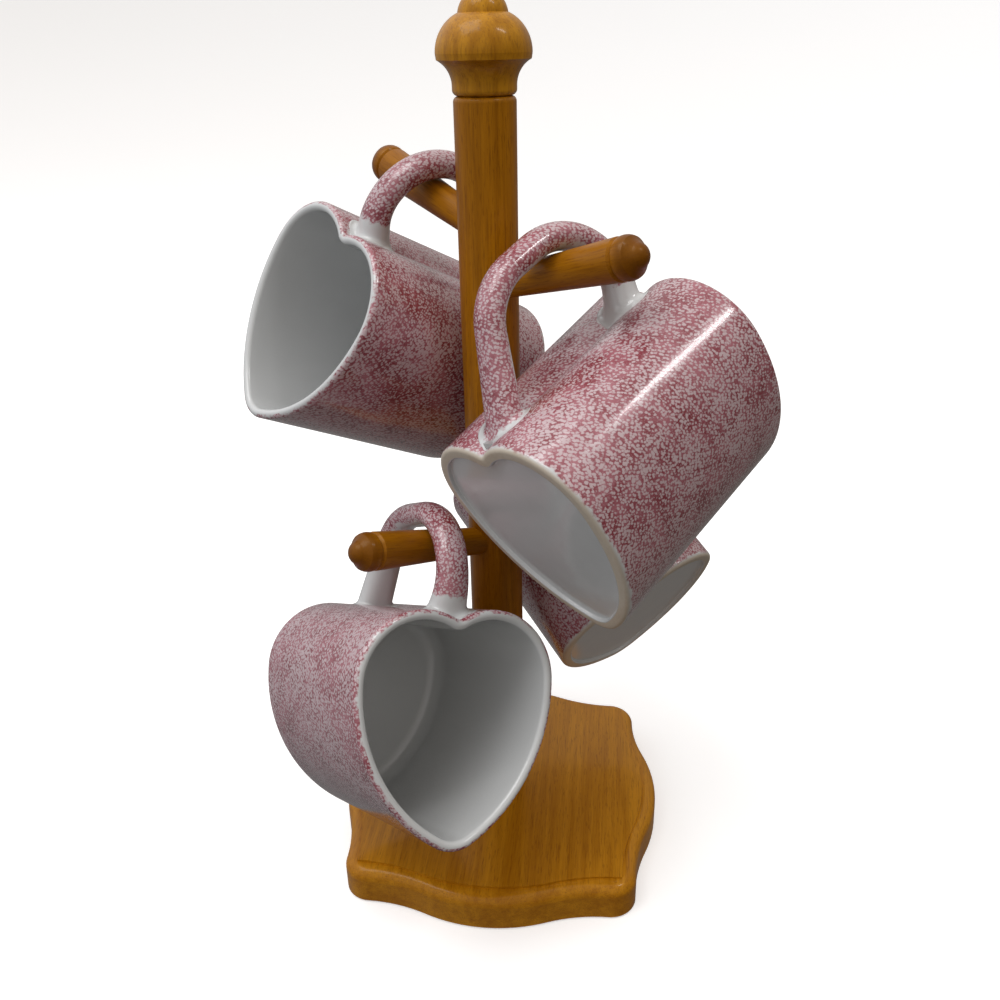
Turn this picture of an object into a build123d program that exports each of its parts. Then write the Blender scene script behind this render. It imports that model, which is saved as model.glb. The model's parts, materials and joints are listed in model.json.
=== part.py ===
from build123d import *
from math import atan, atan2, cos, hypot, radians, sin, sqrt, tan
import os

# A wooden mug tree with four heart-section stoneware mugs. Millimetres, +Z up.
# The origin is the centre of the base board's underside.

# Base board: a square with rounded corners whose sides swell towards the middle.
BASE_HALF = 63.6          # centre to the straight line through two corners
BASE_BULGE = 9.9          # how far the middle of a side stands out
BASE_CORNER = 11.5        # corner radius
BASE_THICK = 17.7
BASE_STEP_INSET = 6.4     # from the outline to the routed step on top
BASE_STEP = 1.0           # height of that step
BASE_ROUND = 5.0          # routed round-over
BASE_CHAMFER = 0.8

# Post, with a tenon glued into the base board.
POST_R = 11.1
POST_TOP = 320.8
POST_ROUND = 1.9
TENON_R = 8.0
TENON_DEEP = 8.0

# Two screws up through the base board into the post's end grain.
SCREW_OFFSET = 5.5
SCREW_R = 1.8
SCREW_HEAD_R = 3.6
SCREW_HEAD_DEEP = 2.6
SCREW_SUNK = 0.6
SCREW_LENGTH = 45.0
SCREW_POINT = 5.0

# Dowel between post and finial.
DOWEL_R = 4.0
DOWEL_HALF = 11.0
DOWEL_CHAMFER = 0.8
DOWEL_SPARE = 0.5         # hole depth beyond the dowel's end

# Finial, radii and heights above the post's top.
CUP_R = 11.3
CUP_FOOT_R = 9.3
CUP_STRAIGHT = 3.2
DOME_EDGE_R = 16.4
DOME_EDGE_Z = 11.4
DOME_R = 16.7
DOME_BELLY_Z = 13.4
DOME_ARC_R = 13.5
BALL_R = 8.6
BALL_FOOT_Z = 25.7
BALL_HIGH = 7.5

# Pegs: distances are along the peg from the post's axis.
PEG_RISE = 16.2           # degrees above level
PEG_ROOT_R = 5.7
PEG_END_R = 7.5
PEG_INNER = -4.0
PEG_TAPER_START = 13.6
PEG_GROOVE = 65.2
PEG_GROOVE_HALF = 0.9
PEG_GROOVE_DEEP = 0.9
PEG_BEAD = 67.9
PEG_BEAD_R = 7.55
PEG_SHOULDER = 70.3
PEG_SHOULDER_R = 6.9
PEG_NECK = 72.7
PEG_NECK_R = 4.4
PEG_TIP = 75.4

# Name, direction seen from above (degrees anticlockwise from +X), and height on the post's axis.
PEGS = {
    "upper_left": (134.0, 274.4),
    "upper_right": (-39.0, 254.6),
    "lower_left": (-131.0, 147.2),
    "lower_right": (48.5, 167.0),
}

# How each mug hangs: distance along its peg, turn about the upright, and lift of the rim, in degrees.
HANGS = {
    "upper_left": (36.2, -6.4, 26.0),
    "upper_right": (37.0, -10.5, 23.9),
    "lower_left": (37.2, -14.7, 20.9),
    "lower_right": (42.0, -14.0, 28.6),
}
HANG_GAP = 0.5            # between the handle and the peg's top line

# Mug: a heart-shaped section, the same from foot to lip. Its handle is at the cleft, towards +Y.
LOBE_X = 14.5
LOBE_R = 27.2
TIP_Y = -45.1
TIP_R = 15.2
SIDE_R = 65.6
CLEFT_R = 2.6
MUG_HIGH = 94.2
MUG_WALL = 3.8
MUG_FLOOR = 6.0
MUG_FOOT_ROUND = 1.8
MUG_INNER_ROUND = 7.0
FOOT_RING = 4.6           # width of the ring that the mug stands on
FOOT_DEEP = 1.6
LIP_ROUND = 1.7

# Handle: an oval band bent to a rounded loop in the mug's YZ plane.
HANDLE_WIDE = 12.8
HANDLE_THICK = 10.0
HANDLE_REACH = 40.9       # cleft to the centre line at the top of the loop
HANDLE_BEND = 24.0
HANDLE_HIGH_Z = 61.6      # centre of the bend nearer the lip
HANDLE_LOW_Z = 51.0       # centre of the bend nearer the foot
HANDLE_HIGH_LEAN = 24.0   # degrees that the leg nearer the lip leans towards the foot
HANDLE_LOW_LEAN = 30.0


def serpentine(half, bulge, corner):
    """Closed outline whose four sides are each two S-curves that meet at the middle."""
    reach = half - corner
    side = [
        TangentArc([(-reach, -half), (-reach / 2, -half - bulge / 2)], tangent=(1, 0)),
        ThreePointArc((-reach / 2, -half - bulge / 2), (0, -half - bulge), (reach / 2, -half - bulge / 2)),
        TangentArc([(reach, -half), (reach / 2, -half - bulge / 2)], tangent=(-1, 0)),
    ]
    if corner:
        bend = corner * (1 - sqrt(0.5))
        side.append(ThreePointArc((reach, -half), (half - bend, -half + bend), (half, -reach)))
    edges = [edge.rotate(Axis.Z, 90 * turn) for turn in range(4) for edge in side]
    return make_face(edges)


def base_board():
    """Board with a routed round-over that leaves a fine step on top."""
    outline = serpentine(BASE_HALF, BASE_BULGE, BASE_CORNER)
    board = extrude(outline, BASE_THICK - BASE_STEP)
    rim = board.edges().group_by(Axis.Z)[-1]
    board = fillet(rim, BASE_ROUND)
    board = chamfer(board.edges().group_by(Axis.Z)[0], BASE_CHAMFER)
    field = serpentine(BASE_HALF - BASE_STEP_INSET, BASE_BULGE, 0)
    board += Pos(0, 0, BASE_THICK - BASE_STEP - 1) * extrude(field, BASE_STEP + 1)
    board -= Pos(0, 0, BASE_THICK - TENON_DEEP) * up_cylinder(TENON_R, TENON_DEEP)
    for side in (-1, 1):
        board -= Pos(side * SCREW_OFFSET, 0, 0) * screw_hole()
    return board


def up_cylinder(radius, height):
    return Cylinder(radius, height, align=(Align.CENTER, Align.CENTER, Align.MIN))


def screw_hole():
    """Countersunk hole for one screw: a short mouth, the cone and the shank."""
    mouth = up_cylinder(SCREW_HEAD_R, SCREW_SUNK)
    cone = Pos(0, 0, SCREW_SUNK) * screw_cone()
    return mouth + cone + up_cylinder(SCREW_R, SCREW_LENGTH)


def screw_cone():
    return Cone(SCREW_HEAD_R, SCREW_R, SCREW_HEAD_DEEP, align=(Align.CENTER, Align.CENTER, Align.MIN))


def base_screws():
    """Two countersunk wood screws with pointed ends, driven from below."""
    shank = SCREW_LENGTH - SCREW_POINT
    point = Cone(SCREW_R, 0.3, SCREW_POINT, align=(Align.CENTER, Align.CENTER, Align.MIN))
    drive = Pos(0, 0, SCREW_SUNK) * Box(3.4, 0.9, 2.0) + Pos(0, 0, SCREW_SUNK) * Box(0.9, 3.4, 2.0)
    screw = Pos(0, 0, SCREW_SUNK) * screw_cone() + Pos(0, 0, SCREW_SUNK) * up_cylinder(SCREW_R, shank)
    screw = screw + Pos(0, 0, SCREW_SUNK + shank) * point - drive
    return Compound([Pos(side * SCREW_OFFSET, 0, 0) * screw for side in (-1, 1)])


def screw_pilots():
    """The holes that the two screws have cut in the post."""
    pilot = up_cylinder(SCREW_R, SCREW_SUNK + SCREW_LENGTH)
    return [Pos(side * SCREW_OFFSET, 0, 0) * pilot for side in (-1, 1)]


def post():
    """Turned post with its tenon, four slanted peg holes and the finial's dowel hole."""
    foot = BASE_THICK
    body = Pos(0, 0, foot) * up_cylinder(POST_R, POST_TOP - foot)
    body = fillet(body.edges().group_by(Axis.Z)[-1], POST_ROUND)
    body += Pos(0, 0, foot - TENON_DEEP) * up_cylinder(TENON_R, TENON_DEEP)
    body -= Pos(0, 0, POST_TOP - DOWEL_HALF - DOWEL_SPARE) * up_cylinder(DOWEL_R, 2 * DOWEL_HALF)
    for pilot in screw_pilots():
        body -= pilot
    for name in PEGS:
        hole = Pos(0, 0, PEG_INNER) * up_cylinder(PEG_ROOT_R, 4 * POST_R)
        body -= peg_plane(name).location * hole
    return body


def finial_dowel():
    pin = Pos(0, 0, POST_TOP - DOWEL_HALF) * up_cylinder(DOWEL_R, 2 * DOWEL_HALF)
    return chamfer(pin.edges().filter_by(GeomType.CIRCLE), DOWEL_CHAMFER)


def finial():
    """Cupped foot, mushroom dome with a crisp lower edge, and a flattened ball on top."""
    round_mid = (CUP_R - CUP_FOOT_R) * sqrt(0.5)
    flare = DOME_EDGE_Z - CUP_STRAIGHT
    step = DOME_EDGE_R - CUP_R
    cove_r = (step**2 + flare**2) / (2 * step)
    cove_x = CUP_R + cove_r
    cove_rise = flare / 2
    cove_mid = (cove_x - sqrt(cove_r**2 - cove_rise**2), CUP_STRAIGHT + cove_rise)
    belly_x = DOME_R - DOME_ARC_R
    dome_rise = BALL_FOOT_Z - DOME_BELLY_Z
    dome_end = (belly_x + sqrt(DOME_ARC_R**2 - dome_rise**2), BALL_FOOT_Z)
    dome_mid = (belly_x + sqrt(DOME_ARC_R**2 - (dome_rise / 2) ** 2), DOME_BELLY_Z + dome_rise / 2)
    ball_arc_r = (BALL_R**2 + BALL_HIGH**2) / (2 * BALL_HIGH)
    ball_rise = BALL_HIGH / 2
    ball_mid = (sqrt(ball_arc_r**2 - (ball_arc_r - ball_rise) ** 2), BALL_FOOT_Z + ball_rise)
    profile = [
        Line((0, 0), (CUP_FOOT_R, 0)),
        ThreePointArc(
            (CUP_FOOT_R, 0),
            (CUP_FOOT_R + round_mid, CUP_R - CUP_FOOT_R - round_mid),
            (CUP_R, CUP_R - CUP_FOOT_R),
        ),
        Line((CUP_R, CUP_R - CUP_FOOT_R), (CUP_R, CUP_STRAIGHT)),
        ThreePointArc((CUP_R, CUP_STRAIGHT), cove_mid, (DOME_EDGE_R, DOME_EDGE_Z)),
        Line((DOME_EDGE_R, DOME_EDGE_Z), (DOME_R, DOME_BELLY_Z)),
        ThreePointArc((DOME_R, DOME_BELLY_Z), dome_mid, dome_end),
        Line(dome_end, (BALL_R, BALL_FOOT_Z)),
        ThreePointArc((BALL_R, BALL_FOOT_Z), ball_mid, (0, BALL_FOOT_Z + BALL_HIGH)),
        Line((0, BALL_FOOT_Z + BALL_HIGH), (0, 0)),
    ]
    body = revolve(Plane.XZ * make_face(profile), Axis.Z)
    body -= up_cylinder(DOWEL_R, DOWEL_HALF + DOWEL_SPARE)
    return Pos(0, 0, POST_TOP) * body


def peg_directions(name):
    """Level direction of a peg, its own direction, and the direction of its top line."""
    azimuth = radians(PEGS[name][0])
    level = Vector(cos(azimuth), sin(azimuth), 0)
    rise = radians(PEG_RISE)
    flare = atan((PEG_END_R - PEG_ROOT_R) / (PEG_GROOVE - PEG_TAPER_START))
    own = level * cos(rise) + Vector(0, 0, sin(rise))
    top = level * cos(rise + flare) + Vector(0, 0, sin(rise + flare))
    return level, own, top


def peg_plane(name):
    """Plane whose Z runs out along the peg from the post's axis."""
    level, own, top = peg_directions(name)
    return Plane(origin=(0, 0, PEGS[name][1]), x_dir=Vector(0, 0, 1).cross(level), z_dir=own)


def peg(name):
    """Tapered peg with a straight root in the post, and a groove, bead and nose at its end."""
    nose_r = (PEG_NECK_R**2 + (PEG_TIP - PEG_NECK) ** 2) / (2 * (PEG_TIP - PEG_NECK))
    nose_x = PEG_TIP - nose_r
    nose_mid = atan2(PEG_NECK_R, PEG_NECK - nose_x) / 2
    groove_floor = PEG_END_R - PEG_GROOVE_DEEP
    bead_start = (PEG_END_R - 0.15, PEG_GROOVE + PEG_GROOVE_HALF)
    profile = [
        Line((0, PEG_INNER), (PEG_ROOT_R, PEG_INNER)),
        Line((PEG_ROOT_R, PEG_INNER), (PEG_ROOT_R, PEG_TAPER_START)),
        Line((PEG_ROOT_R, PEG_TAPER_START), (PEG_END_R, PEG_GROOVE - PEG_GROOVE_HALF)),
        Line((PEG_END_R, PEG_GROOVE - PEG_GROOVE_HALF), (groove_floor, PEG_GROOVE)),
        Line((groove_floor, PEG_GROOVE), bead_start),
        ThreePointArc(bead_start, (PEG_BEAD_R, PEG_BEAD), (PEG_SHOULDER_R, PEG_SHOULDER)),
        ThreePointArc(
            (PEG_SHOULDER_R, PEG_SHOULDER),
            ((PEG_SHOULDER_R + PEG_NECK_R) / 2 - 0.12, (PEG_SHOULDER + PEG_NECK) / 2 - 0.12),
            (PEG_NECK_R, PEG_NECK),
        ),
        ThreePointArc(
            (PEG_NECK_R, PEG_NECK),
            (nose_r * sin(nose_mid), nose_x + nose_r * cos(nose_mid)),
            (0, PEG_TIP),
        ),
        Line((0, PEG_TIP), (0, PEG_INNER)),
    ]
    body = revolve(Plane.XZ * make_face(profile), Axis.Z)
    return peg_plane(name).location * body


def toward(centre, point, radius):
    """Point at a distance from a centre, on the line towards another point."""
    gap = hypot(point[0] - centre[0], point[1] - centre[1])
    return tuple(c + (p - c) * radius / gap for c, p in zip(centre, point))


def arc_middle(centre, radius, start, end):
    """Middle of the short arc between two points of a circle."""
    half_way = ((start[0] + end[0]) / 2, (start[1] + end[1]) / 2)
    return toward(centre, half_way, radius)


def cleft_y():
    """Lowest point of the cleft between the lobes."""
    return sqrt((CLEFT_R + LOBE_R) ** 2 - LOBE_X**2) - CLEFT_R


def heart(inset):
    """Heart outline from four tangent arcs a side: cleft, lobe, side and tip."""
    cleft_r, lobe_r = CLEFT_R + inset, LOBE_R - inset
    side_r, tip_r = SIDE_R - inset, TIP_R - inset
    lobe = (LOBE_X, 0)
    tip = (0, TIP_Y)
    cleft = (0, sqrt((cleft_r + lobe_r) ** 2 - LOBE_X**2))
    # The side's centre lies across the heart, a known distance from the lobe's and the tip's.
    span = hypot(LOBE_X, TIP_Y)
    to_lobe, to_tip = side_r - lobe_r, side_r - tip_r
    along = (to_lobe**2 - to_tip**2 + span**2) / (2 * span)
    across = sqrt(to_lobe**2 - along**2)
    unit = ((tip[0] - lobe[0]) / span, (tip[1] - lobe[1]) / span)
    side = (lobe[0] + unit[0] * along + unit[1] * across, lobe[1] + unit[1] * along - unit[0] * across)

    top = toward(cleft, lobe, cleft_r)
    shoulder = toward(side, lobe, side_r)
    hip = toward(side, tip, side_r)
    outer = (lobe[0] + lobe_r * cos(radians(50)), lobe_r * sin(radians(50)))
    half = [
        ThreePointArc((0, cleft[1] - cleft_r), arc_middle(cleft, cleft_r, (0, cleft[1] - cleft_r), top), top),
        ThreePointArc(top, outer, shoulder),
        ThreePointArc(shoulder, arc_middle(side, side_r, shoulder, hip), hip),
        ThreePointArc(hip, arc_middle(tip, tip_r, hip, (0, TIP_Y - tip_r)), (0, TIP_Y - tip_r)),
    ]
    return make_face(half + [edge.mirror(Plane.YZ) for edge in half])


def mug_solid():
    """The mug's outer form, with a rounded foot and lip."""
    block = extrude(heart(0), MUG_HIGH)
    block = fillet(block.edges().group_by(Axis.Z)[0], MUG_FOOT_ROUND)
    return fillet(block.edges().group_by(Axis.Z)[-1], LIP_ROUND)


def mug_body():
    """Hollow mug that stands on a ring around a shallow recess."""
    cavity = extrude(Pos(0, 0, MUG_FLOOR) * heart(MUG_WALL), MUG_HIGH)
    cavity = fillet(cavity.edges().group_by(Axis.Z)[0], MUG_INNER_ROUND)
    body = mug_solid() - cavity
    lip = body.edges().filter_by(Plane.XY).group_by(Axis.Z)[-1]
    inner = [edge for edge in lip if is_inner(edge)]
    body = fillet(inner, LIP_ROUND)
    recess = extrude(heart(FOOT_RING), FOOT_DEEP)
    return body - recess


def is_inner(edge):
    """True for an edge of the lip that bounds the cavity."""
    middle = edge.position_at(0.5)
    probe = heart(MUG_WALL / 2)
    return probe.is_inside(Vector(middle.X, middle.Y, 0))


def handle_line():
    """Centre line of the handle as (Y, Z) corners: two leaning legs and the straight top of the loop."""
    root, top = cleft_y() - MUG_WALL / 2, cleft_y() + HANDLE_REACH
    middle = top - HANDLE_BEND
    corners = []
    for centre_z, lean, side in ((HANDLE_HIGH_Z, HANDLE_HIGH_LEAN, 1), (HANDLE_LOW_Z, HANDLE_LOW_LEAN, -1)):
        # Height at which the leg's line, tangent to its bend, crosses the bend's own centre.
        level = centre_z + side * HANDLE_BEND / cos(radians(lean))
        slope = tan(radians(lean))
        ends = [(root, level + (root - middle) * slope), (top, level + (top - middle) * slope)]
        corners += ends if side > 0 else ends[::-1]
    return corners


def mug_handle():
    """Oval band swept round the loop, then cut to the mug's outer face."""
    corners = [(0, y, z) for y, z in handle_line()]
    path = FilletPolyline(*corners, radius=HANDLE_BEND)
    start = Plane(origin=corners[0], x_dir=(1, 0, 0), z_dir=Vector(*corners[1]) - Vector(*corners[0]))
    band = sweep(start * Ellipse(HANDLE_WIDE / 2, HANDLE_THICK / 2), path=path)
    return band - mug_solid()


def hang_plane(name):
    """Plane of a mug that hangs with its handle flush on the peg's top line."""
    station, turn, lift = HANGS[name]
    level, own, top = peg_directions(name)
    across = Vector(0, 0, 1).cross(level)
    upright = top.cross(across)
    tilt = radians(lift)
    mug_z = across * cos(tilt) + upright * sin(tilt)
    mug_x = top * -1
    spin = Axis((0, 0, 0), upright)
    mug_z = mug_z.rotate(spin, turn)
    mug_x = mug_x.rotate(spin, turn)
    flare = (PEG_END_R - PEG_ROOT_R) / (PEG_GROOVE - PEG_TAPER_START)
    peg_r = PEG_ROOT_R + (station - PEG_TAPER_START) * flare
    touch = Vector(0, 0, PEGS[name][1]) + own * station + upright * (peg_r + HANG_GAP)
    inner = HANDLE_BEND - HANDLE_THICK / 2
    touch_y = cleft_y() + HANDLE_REACH - HANDLE_BEND + inner * cos(tilt)
    touch_z = HANDLE_HIGH_Z + inner * sin(tilt)
    mug_y = mug_z.cross(mug_x)
    return Plane(origin=touch - mug_y * touch_y - mug_z * touch_z, x_dir=mug_x, z_dir=mug_z)


def write(name, shape):
    shape = Compound(shape.solids()) if len(shape.solids()) > 1 else shape.solids()[0]
    shape.label = name
    export_step(shape, f"parts/{name}.step")


def main():
    os.makedirs("parts", exist_ok=True)
    write("base_board", base_board())
    write("post", post())
    write("finial", finial())
    write("finial_dowel", finial_dowel())
    write("base_screws", base_screws())
    for name in PEGS:
        write(f"peg_{name}", peg(name))
    body, handle = mug_body(), mug_handle()
    for name in PEGS:
        place = hang_plane(name).location
        write(f"mug_{name}", place * body)
        write(f"handle_{name}", place * handle)


main()
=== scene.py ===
"""Looks for the wooden mug tree: lacquered wood, and four heart-section mugs with a sponged glaze."""

import json
from math import atan2, cos, hypot, pi, radians, sin, sqrt

import bpy
from mathutils import Matrix, Vector


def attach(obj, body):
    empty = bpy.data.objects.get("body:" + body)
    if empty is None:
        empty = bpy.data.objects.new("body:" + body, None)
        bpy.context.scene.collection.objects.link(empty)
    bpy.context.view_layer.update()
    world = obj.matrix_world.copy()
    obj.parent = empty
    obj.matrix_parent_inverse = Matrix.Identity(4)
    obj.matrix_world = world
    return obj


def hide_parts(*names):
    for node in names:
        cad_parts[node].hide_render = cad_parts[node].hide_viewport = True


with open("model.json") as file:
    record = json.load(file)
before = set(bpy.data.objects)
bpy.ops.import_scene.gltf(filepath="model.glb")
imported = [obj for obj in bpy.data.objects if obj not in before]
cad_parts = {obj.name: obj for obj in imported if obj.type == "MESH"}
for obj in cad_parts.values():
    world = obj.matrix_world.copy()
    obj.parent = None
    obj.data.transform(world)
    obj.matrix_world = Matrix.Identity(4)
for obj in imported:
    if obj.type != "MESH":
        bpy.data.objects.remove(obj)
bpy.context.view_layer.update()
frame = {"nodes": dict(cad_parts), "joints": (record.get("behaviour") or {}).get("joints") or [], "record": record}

MM = 0.001
NAMES = ("upper_left", "upper_right", "lower_left", "lower_right")

# How each mug hangs: distance along its peg in mm, turn about the upright, and lift of the rim, in degrees.
HANGS = {
    "upper_left": (36.2, -6.4, 26.0),
    "upper_right": (37.0, -10.5, 23.9),
    "lower_left": (37.2, -14.7, 20.9),
    "lower_right": (42.0, -14.0, 28.6),
}
PEG_RISE = radians(16.2)
PEG_ROOT_R = 5.7
PEG_TAPER_START = 13.6
PEG_FLARE = 1.8 / 51.6    # growth of the radius along the taper
PEG_BEAD = 65.6           # where the darker turned end begins
HANG_GAP = 0.5
HOOK_OUT = 40.0           # from the post's axis to a hook mount

# Mug section and height, in mm. The handle is at the cleft, towards +Y.
LOBE_X = 14.5
LOBE_R = 27.2
TIP_Y = -45.1
TIP_R = 15.2
SIDE_R = 65.6
CLEFT_R = 2.6
MUG_HIGH = 94.2
MUG_WALL = 3.8
MUG_FLOOR = 6.0
FOOT_ROUND = 1.8
INNER_ROUND = 7.0
FOOT_RING = 4.6
FOOT_DEEP = 1.6
RING_EDGE = 0.5           # rounding of the ring's inner edge
LIP_DROP = 0.25           # how far the hand-finished lip dips in places

# Handle.
HANDLE_WIDE = 12.8
HANDLE_THICK = 10.0
HANDLE_REACH = 40.9
HANDLE_BEND = 24.0
HANDLE_HIGH_Z = 61.6      # centre of the bend nearer the lip
HANDLE_LOW_Z = 51.0
HANDLE_HIGH_LEAN = radians(24.0)
HANDLE_LOW_LEAN = radians(30.0)
CLEFT_Y = sqrt((CLEFT_R + LOBE_R) ** 2 - LOBE_X**2) - CLEFT_R
BEND_Y = CLEFT_Y + HANDLE_REACH - HANDLE_BEND
ROOT_FILLET = 3.4         # how far the luted joint spreads over the wall
ROOT_BURIED = 1.0
ROOT_LEVEL = 26.6         # where a leg starts, measured like the cleft
ROOT_NECK = 1.5           # how much thicker the handle is at its roots
NECK_LONG = 20.0

# Where the sponged colour ends.
NEVER = -9.0              # a layer's value where the colour or the clay doesn't reach
SPONGE_LOW = 1.2          # above the foot
SPONGE_HIGH = -0.1        # below the lip; negative, so the ragged edge reaches the lip's crest
SPONGE_MOST = 30.0        # the layer's value well inside the colour
SPONGE_ROOT = 3.0         # clear of the upper handle root on the wall
SPONGE_FOOT_ROOT = 1.2    # the same for the root nearer the foot
BARE_HIGH = 0.75          # the glaze starts this far above the foot
BARE_INSET = 4.1          # and this far in from the outside, on the ring

# How far each handle is left white from the wall: the leg nearer the lip, then the one nearer the foot.
LEG_WHITE = {
    "upper_left": (7.5, 2.0),
    "upper_right": (7.5, 0.8),
    "lower_left": (6.5, 18.0),
    "lower_right": (7.5, 2.0),
}

WHITE_GLAZE = (0.60, 0.61, 0.61, 1)
BARE_CLAY = (0.52, 0.43, 0.33, 1)
CRANBERRY = (0.23, 0.035, 0.05, 1)
DUSKY_PINK = (0.38, 0.13, 0.16, 1)
SPONGE_WHITE = (0.56, 0.43, 0.45, 1)

# Lacquered wood, from its dark to its light bands.
POST_DARK = (0.26, 0.088, 0.001, 1)
POST_LIGHT = (0.44, 0.17, 0.003, 1)
PEG_LIGHT = (0.38, 0.145, 0.003, 1)
BASE_DARK = (0.38, 0.138, 0.002, 1)
BASE_LIGHT = (0.57, 0.24, 0.008, 1)
FINIAL_DARK = (0.35, 0.135, 0.002, 1)
FINIAL_LIGHT = (0.56, 0.25, 0.008, 1)
BEECH_DARK = (0.42, 0.28, 0.16, 1)
BEECH_LIGHT = (0.55, 0.40, 0.25, 1)
GLOSSY = 0.25             # coat weight where the lacquer is thick
SATIN = 0.1


# ---------------------------------------------------------------- heart section

def arc(centre, radius, start, end, count, bulge=1):
    """Points and outward normals on an arc; bulge is -1 where the arc is hollow."""
    found = []
    for i in range(count):
        angle = start + (end - start) * i / count
        out = Vector((cos(angle), sin(angle)))
        found.append((Vector(centre) + out * radius, out * bulge))
    return found


def heart_outline():
    """Right half from the cleft down to the tip, then the left half back up."""
    cleft = (0, sqrt((CLEFT_R + LOBE_R) ** 2 - LOBE_X**2))
    span = sqrt(LOBE_X**2 + TIP_Y**2)
    to_lobe, to_tip = SIDE_R - LOBE_R, SIDE_R - TIP_R
    along = (to_lobe**2 - to_tip**2 + span**2) / (2 * span)
    across = sqrt(to_lobe**2 - along**2)
    unit = (-LOBE_X / span, TIP_Y / span)
    side = (LOBE_X + unit[0] * along + unit[1] * across, unit[1] * along - unit[0] * across)
    join = atan2(cleft[1], -LOBE_X)
    shoulder = atan2(-side[1], LOBE_X - side[0])
    hip = atan2(TIP_Y - side[1], -side[0])
    half = arc(cleft, CLEFT_R, -pi / 2, atan2(-cleft[1], LOBE_X), 5, -1)
    half += arc((LOBE_X, 0), LOBE_R, join, shoulder, 44)
    half += arc(side, SIDE_R, shoulder, hip, 26)
    half += arc((0, TIP_Y), TIP_R, hip, -pi / 2, 12)
    half.append((Vector((0, TIP_Y - TIP_R)), Vector((0, -1))))
    mirror = [(Vector((-p.x, p.y)), Vector((-n.x, n.y))) for p, n in reversed(half[1:-1])]
    return half + mirror


def wall_y(x):
    """Outer face of the wall above a given x, on the cleft's side."""
    cleft_y = sqrt((CLEFT_R + LOBE_R) ** 2 - LOBE_X**2)
    join_x = LOBE_X * CLEFT_R / (CLEFT_R + LOBE_R)
    if abs(x) < join_x:
        return cleft_y - sqrt(CLEFT_R**2 - x * x)
    return sqrt(LOBE_R**2 - (abs(x) - LOBE_X) ** 2)


def round_corner(centre, radius, start, end, count):
    """Points (inset, height) round a corner of the mug's wall section."""
    found = []
    for i in range(count + 1):
        angle = start + (end - start) * i / count
        found.append((centre[0] + radius * cos(angle), centre[1] + radius * sin(angle)))
    return found


def straight(start, end, step):
    """Evenly spaced points between two, without the ends."""
    gap = abs(end[0] - start[0]) + abs(end[1] - start[1])
    count = max(2, int(gap / step))
    return [tuple(a + (b - a) * i / count for a, b in zip(start, end)) for i in range(1, count)]


def wall_section():
    """The wall as (inset, height), from inside the foot ring, round the lip, to the floor."""
    half = MUG_WALL / 2
    ring = [(11.0, FOOT_DEEP), (FOOT_RING + 2.5, FOOT_DEEP), (FOOT_RING + 1.2, FOOT_DEEP)]
    ring += round_corner((FOOT_RING + RING_EDGE, FOOT_DEEP - RING_EDGE), RING_EDGE, pi / 2, pi, 3)
    ring += round_corner((FOOT_RING - RING_EDGE, RING_EDGE), RING_EDGE, 0, -pi / 2, 4)
    outer = round_corner((FOOT_ROUND, FOOT_ROUND), FOOT_ROUND, -pi / 2, -pi, 9)
    outer += straight((0, FOOT_ROUND), (0, MUG_HIGH - half), 1.3)
    lip = round_corner((half, MUG_HIGH - half), half, pi, 0, 12)
    inner = straight((MUG_WALL, MUG_HIGH - half), (MUG_WALL, MUG_FLOOR + INNER_ROUND), 3.0)
    corner = (MUG_WALL + INNER_ROUND, MUG_FLOOR + INNER_ROUND)
    inner += round_corner(corner, INNER_ROUND, -pi, -pi / 2, 9)
    return ring + outer + lip + inner


# ---------------------------------------------------------------- mugs

def legs():
    """The handle's two legs as (side, centre height of the bend, lean)."""
    return ((1, HANDLE_HIGH_Z, HANDLE_HIGH_LEAN), (-1, HANDLE_LOW_Z, HANDLE_LOW_LEAN))


def leg_height(side, centre_z, lean, y):
    """Height of a leg's centre line, which is tangent to its bend, at a given y."""
    return centre_z + side * HANDLE_BEND / cos(lean) + (y - BEND_Y) * sin(lean) / cos(lean)


def root_distance(x, z):
    """How far a point of the wall is from the white patches round the handle's roots."""
    high, low = [hypot(x / 1.15, z - leg_height(*leg, ROOT_LEVEL)) - HANDLE_WIDE / 2 for leg in legs()]
    return min(high - SPONGE_ROOT, low - SPONGE_FOOT_ROOT)


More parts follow.
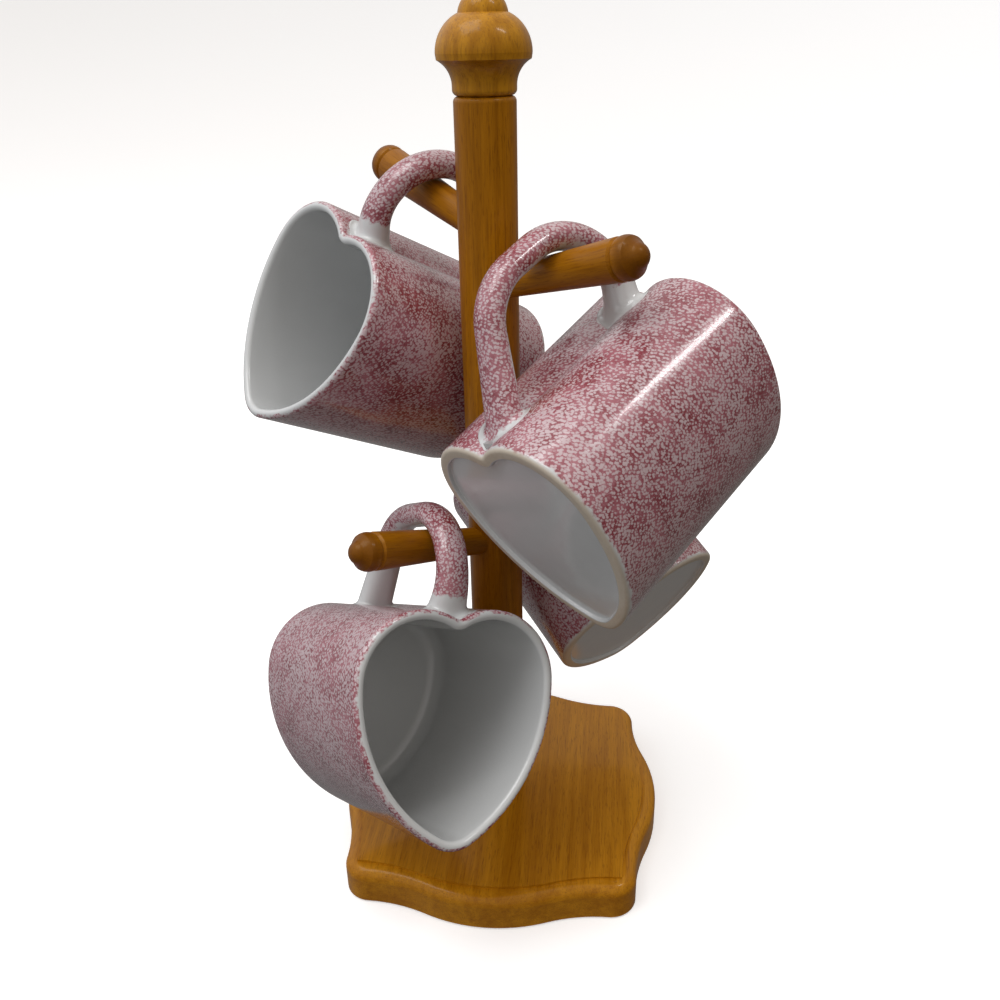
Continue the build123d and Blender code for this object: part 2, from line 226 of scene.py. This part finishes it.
def mug_mesh():
    """The body in its own frame, with how far each point lies inside the sponged and the bare clay."""
    outline = heart_outline()
    section = wall_section()
    columns = len(outline)
    points, sponge, bare = [], [], []
    on_inside = False
    for inset, height in section:
        on_inside = on_inside or (height > MUG_HIGH - MUG_WALL / 2 and inset > MUG_WALL / 2)
        for k, (point, normal) in enumerate(outline):
            spot = point - normal * inset
            angle = 2 * pi * k / columns
            lift = max(0.0, height / MUG_HIGH - 0.9) * 10
            dip = LIP_DROP * lift * (0.5 + 0.5 * sin(3 * angle + 0.7)) if lift else 0
            points.append((spot.x * MM, spot.y * MM, (height - dip) * MM))
            reach = min(height - SPONGE_LOW, MUG_HIGH - SPONGE_HIGH - height, SPONGE_MOST)
            if point.y > 0:
                reach = min(reach, root_distance(spot.x, height))
            underside = height < FOOT_ROUND and inset >= FOOT_ROUND
            sponge.append(NEVER if on_inside or underside else reach)
            bare.append(NEVER if on_inside or inset > BARE_INSET else BARE_HIGH - height)
    rows = len(section)
    faces = []
    for row in range(rows - 1):
        for k in range(columns):
            a, b = row * columns + k, row * columns + (k + 1) % columns
            faces.append((a, a + columns, b + columns, b))
    for row, height in ((0, FOOT_DEEP), (rows - 1, MUG_FLOOR)):
        first = row * columns
        loop = list(range(first, first + columns))
        middle = Vector((0, -8 * MM, height * MM))
        for share in (0.66, 0.33):
            start = len(points)
            for index in range(first, first + columns):
                points.append(tuple(middle.lerp(Vector(points[index]), share)))
                sponge.append(NEVER)
                bare.append(NEVER)
            inner = list(range(start, start + columns))
            faces += ring_faces(loop, inner, row == 0)
            loop = inner
        points.append(tuple(middle))
        sponge.append(NEVER)
        bare.append(NEVER)
        faces += cap_faces(loop, len(points) - 1, row == 0)
    return new_mesh("mug", points, faces, {"sponge": sponge, "bare": bare})


def ring_faces(outer, inner, flip):
    count = len(outer)
    quads = []
    for k in range(count):
        n = (k + 1) % count
        quad = (outer[k], inner[k], inner[n], outer[n])
        quads.append(quad[::-1] if flip else quad)
    return quads


def cap_faces(loop, middle, flip):
    count = len(loop)
    triangles = []
    for k in range(count):
        triangle = (loop[k], middle, loop[(k + 1) % count])
        triangles.append(triangle[::-1] if flip else triangle)
    return triangles


def new_mesh(name, points, faces, layers):
    """A smooth-shaded mesh with its float layers filled."""
    mesh = bpy.data.meshes.new(name)
    mesh.from_pydata(points, [], faces)
    for layer, values in layers.items():
        attribute = mesh.attributes.new(layer, "FLOAT", "POINT")
        attribute.data.foreach_set("value", values)
    mesh.shade_smooth()
    mesh.update()
    return mesh


def leg_long(side, centre_z, lean):
    """Length of a leg from the wall's level to its bend."""
    return (BEND_Y - side * HANDLE_BEND * sin(lean) - ROOT_LEVEL) / cos(lean)


def loop_rows():
    """Centre line between the legs as (point, outward angle, distance from the lip's and the foot's root)."""
    high, low = legs()
    spots = []
    for i in range(37):
        spots.append((HANDLE_HIGH_Z, (pi / 2 + HANDLE_HIGH_LEAN) * (1 - i / 36)))
    for i in range(1, 6):
        spots.append((HANDLE_HIGH_Z + (HANDLE_LOW_Z - HANDLE_HIGH_Z) * i / 6, 0.0))
    for i in range(29):
        spots.append((HANDLE_LOW_Z, (HANDLE_LOW_LEAN - pi / 2) * i / 28))
    line = [Vector((BEND_Y + HANDLE_BEND * cos(turn), z + HANDLE_BEND * sin(turn))) for z, turn in spots]
    steps = [0.0] + [(b - a).length for a, b in zip(line, line[1:])]
    walked, total = 0.0, sum(steps)
    rows = []
    for spot, (z, turn), step in zip(line, spots, steps):
        walked += step
        rows.append((spot, turn, leg_long(*high) + walked, leg_long(*low) + total - walked))
    return rows


def neck(distance):
    """How much thicker the handle is at a distance from its root."""
    return ROOT_NECK * max(0.0, 1 - max(distance, 0) / NECK_LONG) ** 2


def spread(distance):
    """How much the luted joint widens the handle at a distance from the wall."""
    across = ROOT_FILLET - min(max(distance, 0), ROOT_FILLET)
    return ROOT_FILLET - sqrt(ROOT_FILLET**2 - across**2)


def leg_point(leg, distance, sideways, outwards):
    """A point of a leg's surface, which follows the curved wall near its root."""
    side, centre_z, lean = leg
    grow = neck(distance) + spread(distance)
    x = (HANDLE_WIDE / 2 + grow) * sideways
    out = (HANDLE_THICK / 2 + grow * 0.8) * outwards
    normal = Vector((-side * sin(lean), side * cos(lean)))
    share = min(1.0, max(distance, 0) / leg_long(*leg))
    y = wall_y(x) * (1 - share) + (ROOT_LEVEL + normal.x * out) * share + distance * cos(lean)
    z = leg_height(side, centre_z, lean, y - normal.x * out) + normal.y * out
    return x, y, z


def handle_mesh(name):
    """The oval band, thicker towards its roots, which spread on to the wall."""
    around = 48
    white_high, white_low = LEG_WHITE[name]
    shares = (-0.04, 0.0, 0.015, 0.05, 0.11, 0.2, 0.32, 0.46, 0.6, 0.78)
    rows = []
    for leg in legs():
        near = [-ROOT_BURIED] + [ROOT_FILLET * share for share in shares]
        leg_rows = [(leg, distance) for distance in near]
        rows += leg_rows + loop_rows() if leg[0] > 0 else leg_rows[::-1]
    points, sponge = [], []
    for row in rows:
        for k in range(around):
            sideways, outwards = cos(2 * pi * k / around), sin(2 * pi * k / around)
            if len(row) == 2:
                leg, distance = row
                x, y, z = leg_point(leg, distance, sideways, outwards)
                clear = distance - (white_high if leg[0] > 0 else white_low)
            else:
                spot, turn, from_high, from_low = row
                clear = min(from_high - white_high, from_low - white_low)
                grow = neck(min(from_high, from_low))
                out = (HANDLE_THICK / 2 + grow * 0.8) * outwards
                x = (HANDLE_WIDE / 2 + grow) * sideways
                y, z = spot.x + out * cos(turn), spot.y + out * sin(turn)
            points.append((x * MM, y * MM, z * MM))
            sponge.append(min(clear, (outwards + 0.72) * HANDLE_THICK * 0.6))
    count = len(rows)
    faces = []
    for row in range(count - 1):
        for k in range(around):
            a, b = row * around + k, row * around + (k + 1) % around
            faces.append((a, a + around, b + around, b))
    faces.append(tuple(range(around)))
    faces.append(tuple(reversed(range((count - 1) * around, count * around))))
    return new_mesh("handle", points, faces, {"sponge": sponge, "bare": [NEVER] * len(points)})


def joint_axis(name):
    for joint in frame["joints"]:
        if joint["child"] == f"{name}_mug":
            return Vector(joint["axis"]).normalized()
    raise ValueError(name)


def hook_point(name):
    for mount in frame["record"]["mounts"]:
        if mount["name"] == f"hook_{name}":
            return Vector(mount["pos_m"])
    raise ValueError(name)


def peg_frame(name):
    """Level and own direction of a peg, and where its axis meets the post's, in mm."""
    top = joint_axis(name)
    level = Vector((top.x, top.y, 0)).normalized()
    own = level * cos(PEG_RISE) + Vector((0, 0, sin(PEG_RISE)))
    return level, own, hook_point(name) / MM - own * HOOK_OUT


def mug_place(name):
    """Matrix that puts the mug's own frame where it hangs on its peg."""
    station, turn, lift = HANGS[name]
    level, own, start = peg_frame(name)
    top = joint_axis(name)
    across = Vector((0, 0, 1)).cross(level)
    upright = top.cross(across)
    tilt = radians(lift)
    spin = Matrix.Rotation(radians(turn), 3, upright)
    mug_z = spin @ (across * cos(tilt) + upright * sin(tilt))
    mug_x = spin @ (top * -1)
    mug_y = mug_z.cross(mug_x)
    peg_r = PEG_ROOT_R + (station - PEG_TAPER_START) * PEG_FLARE
    touch = start + own * station + upright * (peg_r + HANG_GAP)
    inner = HANDLE_BEND - HANDLE_THICK / 2
    touch_y = BEND_Y + inner * cos(tilt)
    touch_z = HANDLE_HIGH_Z + inner * sin(tilt)
    origin = (touch - mug_y * touch_y - mug_z * touch_z) * MM
    turned = Matrix((mug_x, mug_y, mug_z)).transposed().to_4x4()
    return Matrix.Translation(origin) @ turned


# ---------------------------------------------------------------- node helpers

class Graph:
    """A material's node tree, with one short call for each kind of node used here."""

    def __init__(self, name):
        self.material = bpy.data.materials.new(name)
        self.material.use_nodes = True
        self.tree = self.material.node_tree
        self.shader = self.tree.nodes["Principled BSDF"]

    def node(self, kind, **settings):
        made = self.tree.nodes.new(kind)
        for key, value in settings.items():
            setattr(made, key, value)
        return made

    def put(self, socket, value):
        if isinstance(value, bpy.types.NodeSocket):
            self.tree.links.new(value, socket)
        else:
            socket.default_value = value

    def place(self, location=(0, 0, 0), rotation=(0, 0, 0), scale=(1, 1, 1), kind="POINT", source=None):
        """Object coordinates, moved, turned and scaled."""
        if source is None:
            source = self.node("ShaderNodeTexCoord").outputs["Object"]
        mapping = self.node("ShaderNodeMapping", vector_type=kind)
        self.put(mapping.inputs["Vector"], source)
        mapping.inputs["Location"].default_value = location
        mapping.inputs["Rotation"].default_value = rotation
        mapping.inputs["Scale"].default_value = scale
        return mapping.outputs["Vector"]

    def noise(self, vector, scale, detail=2.0, rough=0.5, out="Fac"):
        made = self.node("ShaderNodeTexNoise")
        self.put(made.inputs["Vector"], vector)
        made.inputs["Scale"].default_value = scale
        made.inputs["Detail"].default_value = detail
        made.inputs["Roughness"].default_value = rough
        return made.outputs[out]

    def cells(self, vector, scale, chaos=1.0):
        made = self.node("ShaderNodeTexVoronoi")
        made.inputs["Randomness"].default_value = chaos
        self.put(made.inputs["Vector"], vector)
        made.inputs["Scale"].default_value = scale
        return made.outputs["Distance"]

    def remap(self, value, low, high, to_low=0.0, to_high=1.0, smooth=True):
        made = self.node("ShaderNodeMapRange")
        if smooth:
            made.interpolation_type = "SMOOTHSTEP"
        self.put(made.inputs["Value"], value)
        self.put(made.inputs["From Min"], low)
        self.put(made.inputs["From Max"], high)
        self.put(made.inputs["To Min"], to_low)
        self.put(made.inputs["To Max"], to_high)
        return made.outputs["Result"]

    def math(self, operation, a, b=0.0):
        made = self.node("ShaderNodeMath", operation=operation)
        self.put(made.inputs[0], a)
        self.put(made.inputs[1], b)
        return made.outputs["Value"]

    def mix(self, factor, a, b):
        made = self.node("ShaderNodeMix", data_type="RGBA")
        self.put(made.inputs["Factor"], factor)
        colours = [s for s in made.inputs if s.type == "RGBA"]
        self.put(colours[0], a)
        self.put(colours[1], b)
        return [s for s in made.outputs if s.type == "RGBA"][0]

    def layer(self, name):
        return self.node("ShaderNodeAttribute", attribute_name=name).outputs["Fac"]

    def bump(self, height, strength, distance, normal=None):
        made = self.node("ShaderNodeBump")
        made.inputs["Strength"].default_value = strength
        made.inputs["Distance"].default_value = distance
        self.put(made.inputs["Height"], height)
        if normal is not None:
            self.put(made.inputs["Normal"], normal)
        return made.outputs["Normal"]

    def shade(self, **sockets):
        for name, value in sockets.items():
            self.put(self.shader.inputs[name.replace("_", " ")], value)
        return self.material


# ---------------------------------------------------------------- materials

def glaze(name, place, shift, lean):
    """White glaze with a net of sponged colour, and bare clay where the layers say so."""
    g = Graph(f"glaze_{name}")
    own = g.place(place.translation, place.to_euler(), (MM, MM, MM), kind="TEXTURE")
    local = g.place(location=shift, rotation=lean, source=own)
    wander = g.noise(local, 0.8, 2, out="Color")
    shifted = g.node("ShaderNodeVectorMath", operation="MULTIPLY_ADD")
    g.put(shifted.inputs[0], wander)
    shifted.inputs[1].default_value = (1.1, 1.1, 1.1)
    g.put(shifted.inputs[2], local)
    daubed = g.place(scale=(1.0, 0.72, 1.0), source=shifted.outputs["Vector"])
    patches = g.noise(local, 0.045, 3, 0.6)
    size = g.remap(patches, 0.3, 0.7, 0.42, 0.60)
    blobs = g.cells(daubed, 1.0, 0.72)
    white = g.remap(g.math("SUBTRACT", blobs, size), -0.17, 0.12, 1.0, 0.0)
    specks = g.remap(g.cells(daubed, 1.9), 0.2, 0.45, 0.24, 0.0)
    white = g.math("MAXIMUM", white, specks)
    tone = g.remap(g.noise(local, 0.11, 3, 0.65), 0.32, 0.68)
    sponged = g.mix(tone, CRANBERRY, DUSKY_PINK)
    sponged = g.mix(white, sponged, SPONGE_WHITE)
    ragged = g.math("MULTIPLY", g.noise(local, 0.5, 3, 0.6), 4.0)
    loose = g.math("MULTIPLY", g.noise(local, 0.13, 2), 4.0)
    edge = g.math("ADD", g.layer("sponge"), g.math("SUBTRACT", g.math("ADD", ragged, loose), 4.0))
    covered = g.remap(edge, -0.3, 0.9)
    colour = g.mix(covered, WHITE_GLAZE, sponged)
    raw = g.remap(g.layer("bare"), -0.8, 0.6)
    clay = g.mix(g.noise(local, 0.6, 4, 0.7), BARE_CLAY, (0.62, 0.55, 0.45, 1))
    colour = g.mix(raw, colour, clay)
    roughness = g.remap(raw, 0, 1, 0.19, 0.75)
    ripple = g.bump(g.noise(local, 0.08, 2), 0.25, 0.0006)
    relief = g.bump(white, 0.10, 0.00008, ripple)
    return g.shade(Base_Color=colour, Roughness=roughness, Normal=relief, Coat_Weight=0.35,
                   Coat_Roughness=0.07, IOR=1.52)


def wood(name, turn, dark, light, end_start=None, gloss=SATIN):
    """Lacquered wood. turn takes Z along the grain, and end_start is where a darker end begins."""
    g = Graph(name)
    along = g.place(rotation=turn, kind="TEXTURE")
    drift = g.noise(g.place(scale=(40, 40, 9), source=along), 1.0, 3, 0.55)
    figure = g.place(scale=(300, 300, 9), source=along)
    bands = g.noise(figure, 1.0, 4, 0.6)
    fibres = g.noise(g.place(scale=(1700, 1700, 60), source=along), 1.0, 3, 0.6)
    flecks = g.noise(g.place(scale=(1900, 1900, 210), source=along), 1.0, 2, 0.5)
    share = g.math("ADD", g.math("MULTIPLY", drift, 0.5), g.math("MULTIPLY", bands, 0.5))
    colour = g.mix(g.remap(share, 0.34, 0.66), dark, light)
    deep = (dark[0] * 0.5, dark[1] * 0.42, dark[2] * 0.4, 1)
    colour = g.mix(g.remap(fibres, 0.46, 0.74, 0.0, 0.42), colour, deep)
    colour = g.mix(g.remap(flecks, 0.56, 0.70, 0.0, 0.42), colour, deep)
    if end_start is not None:
        far = g.node("ShaderNodeSeparateXYZ")
        g.put(far.inputs[0], along)
        colour = g.mix(g.remap(far.outputs["Z"], end_start, end_start + 0.004, 0.0, 0.75), colour, deep)
    grain = g.bump(fibres, 0.12, 0.00015)
    roughness = g.remap(bands, 0.3, 0.7, 0.34, 0.46)
    return g.shade(Base_Color=colour, Roughness=roughness, Normal=grain, Specular_IOR_Level=0.25,
                   Specular_Tint=(1.0, 0.72, 0.3, 1),
                   Coat_Weight=gloss, Coat_Roughness=0.15)


def steel():
    g = Graph("zinc_plated_steel")
    cloud = g.noise(g.place(scale=(900, 900, 900)), 1.0, 3)
    colour = g.mix(cloud, (0.45, 0.45, 0.46, 1), (0.66, 0.66, 0.64, 1))
    return g.shade(Base_Color=colour, Roughness=g.remap(cloud, 0.3, 0.7, 0.28, 0.45), Metallic=1.0)


def floor_material():
    g = Graph("floor")
    faint = g.noise(g.place(scale=(3, 3, 3)), 1.0, 2)
    colour = g.mix(faint, (0.86, 0.86, 0.86, 1), (0.88, 0.88, 0.88, 1))
    return g.shade(Base_Color=colour, Roughness=0.6, Emission_Color=(1, 1, 1, 1), Emission_Strength=0.42)


def assign(thing, material):
    thing.data.materials.clear()
    thing.data.materials.append(material)


# ---------------------------------------------------------------- building

def build_wood():
    base = wood("base_wood", (radians(-90), 0, 0), BASE_DARK, BASE_LIGHT, gloss=GLOSSY)
    turned = wood("post_wood", (0, 0, 0), POST_DARK, POST_LIGHT)
    assign(frame["nodes"]["base_board"], base)
    assign(frame["nodes"]["post"], turned)
    finial = wood("finial_wood", (0, 0, 0), FINIAL_DARK, FINIAL_LIGHT, gloss=GLOSSY)
    assign(frame["nodes"]["finial"], finial)
    beech = wood("dowel_wood", (0, 0, 0), BEECH_DARK, BEECH_LIGHT)
    assign(frame["nodes"]["finial_dowel"], beech)
    assign(frame["nodes"]["base_screws"], steel())
    for name in NAMES:
        _, own, start = peg_frame(name)
        turn = own.to_track_quat("Z", "Y").to_euler()
        end = start.dot(own) * MM + PEG_BEAD * MM
        material = wood(f"peg_wood_{name}", tuple(turn), POST_DARK, PEG_LIGHT, end)
        assign(frame["nodes"][f"peg_{name}"], material)


def build_mugs():
    body = mug_mesh()
    for k, name in enumerate(NAMES):
        place = mug_place(name)
        material = glaze(name, place, (37.0 * k, 11.0 * k, 23.0 * k), (0.5 + 0.4 * k, 0.3 * k, 0.6))
        for part, mesh in (("mug", body.copy()), ("handle", handle_mesh(name))):
            thing = bpy.data.objects.new(f"glazed_{part}_{name}", mesh)
            bpy.context.scene.collection.objects.link(thing)
            thing.data.transform(place)
            assign(thing, material)
            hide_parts(f"{part}_{name}")
            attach(thing, f"{name}_mug")


def build_floor():
    """A pale floor that rises into a round backdrop, seen by the camera but throwing no light back."""
    points, faces = [], []
    around = 96
    section = [(0.0, 0.0)] + [(0.4 * i, 0.0) for i in range(1, 7)]
    section += [(2.4 + 1.2 * sin(pi / 2 * i / 12), 1.2 - 1.2 * cos(pi / 2 * i / 12)) for i in range(1, 13)]
    section.append((3.6, 2.4))
    for radius, height in section[1:]:
        for k in range(around):
            turn = 2 * pi * k / around
            points.append((radius * cos(turn), radius * sin(turn), height))
    points.append((0, 0, 0))
    for row in range(len(section) - 2):
        for k in range(around):
            a, b = row * around + k, row * around + (k + 1) % around
            faces.append((a, a + around, b + around, b))
    faces += [(len(points) - 1, k, (k + 1) % around) for k in range(around)]
    floor = bpy.data.objects.new("floor", new_mesh("floor", points, faces, {}))
    bpy.context.scene.collection.objects.link(floor)
    floor.visible_diffuse = False
    floor.visible_glossy = False
    assign(floor, floor_material())


def build_camera():
    """Camera in front, above and a little to the right, looking 25.6 degrees down."""
    heading, pitch, roll = -0.1132, 0.4468, -0.0218
    forward = Vector((sin(heading) * cos(pitch), cos(heading) * cos(pitch), -sin(pitch)))
    right = Vector((cos(heading), -sin(heading), 0))
    up = right.cross(forward)
    tilted = right * cos(roll) + up * sin(roll)
    upward = up * cos(roll) - right * sin(roll)
    data = bpy.data.cameras.new("camera")
    data.lens = 34.72
    data.sensor_width = 36
    data.clip_start = 0.01
    data.shift_y = 0.0016
    camera = bpy.data.objects.new("camera", data)
    bpy.context.scene.collection.objects.link(camera)
    turned = Matrix((tilted, upward, forward * -1)).transposed().to_4x4()
    camera.matrix_world = Matrix.Translation((0.0431, -0.3595, 0.3382)) @ turned
    bpy.context.scene.camera = camera


def area_light(name, spot, target, size, power, along=(1, 0, 0)):
    """A rectangular light that faces the target, with its first side lying along a direction."""
    data = bpy.data.lights.new(name, "AREA")
    data.shape = "RECTANGLE"
    data.size, data.size_y = size
    data.energy = power
    light = bpy.data.objects.new(name, data)
    bpy.context.scene.collection.objects.link(light)
    back = (Vector(spot) - Vector(target)).normalized()
    side = (Vector(along) - back * Vector(along).dot(back)).normalized()
    turned = Matrix((side, back.cross(side), back)).transposed().to_4x4()
    light.matrix_world = Matrix.Translation(spot) @ turned


def build_world():
    """A soft room, brighter above than below and a little warmer and dimmer towards +X."""
    world = bpy.data.worlds.new("studio")
    bpy.context.scene.world = world
    world.use_nodes = True
    nodes, links = world.node_tree.nodes, world.node_tree.links
    background = nodes["Background"]
    split = nodes.new("ShaderNodeSeparateXYZ")
    links.new(nodes.new("ShaderNodeTexCoord").outputs["Generated"], split.inputs[0])

    def spread_over(axis, low=0.0, high=1.0):
        made = nodes.new("ShaderNodeMapRange")
        made.inputs["From Min"].default_value = -1
        made.inputs["To Min"].default_value = low
        made.inputs["To Max"].default_value = high
        links.new(split.outputs[axis], made.inputs["Value"])
        return made.outputs["Result"]

    def ramp(factor, stops):
        made = nodes.new("ShaderNodeValToRGB")
        for k, (place, colour) in enumerate(stops):
            stop = made.color_ramp.elements[k] if k < 2 else made.color_ramp.elements.new(place)
            stop.position = place
            stop.color = colour
        links.new(factor, made.inputs["Fac"])
        return made.outputs["Color"]

    levels = ((0.0, 0.16), (0.5, 0.34), (0.62, 0.75), (1.0, 1.15))
    by_height = ramp(spread_over("Z"), [(place, (level, level, level, 1)) for place, level in levels])
    cast = ramp(spread_over("X"), ((0.0, (0.97, 0.99, 1.03, 1)), (1.0, (1.0, 0.90, 0.80, 1))))
    tint = nodes.new("ShaderNodeMix")
    tint.data_type = "RGBA"
    tint.blend_type = "MULTIPLY"
    tint.inputs["Factor"].default_value = 1
    first, second = [socket for socket in tint.inputs if socket.type == "RGBA"]
    links.new(by_height, first)
    links.new(cast, second)
    tinted = [socket for socket in tint.outputs if socket.type == "RGBA"][0]
    links.new(tinted, background.inputs["Color"])
    links.new(spread_over("X", 1.22, 0.38), background.inputs["Strength"])


def build_lights():
    """A broad overhead light, and a narrow one whose reflection streaks the upper right mug."""
    target = (0, 0, 0.2)
    area_light("overhead", (-0.5, -0.3, 1.6), target, (0.9, 0.9), 9)
    area_light("streak", (0.80, -0.265, 1.41), target, (0.42, 0.09), 3.0, along=(0.885, 0.303, -0.354))


bpy.context.scene.view_settings.view_transform = "Standard"
build_wood()
build_mugs()
build_floor()
build_camera()
build_world()
build_lights()
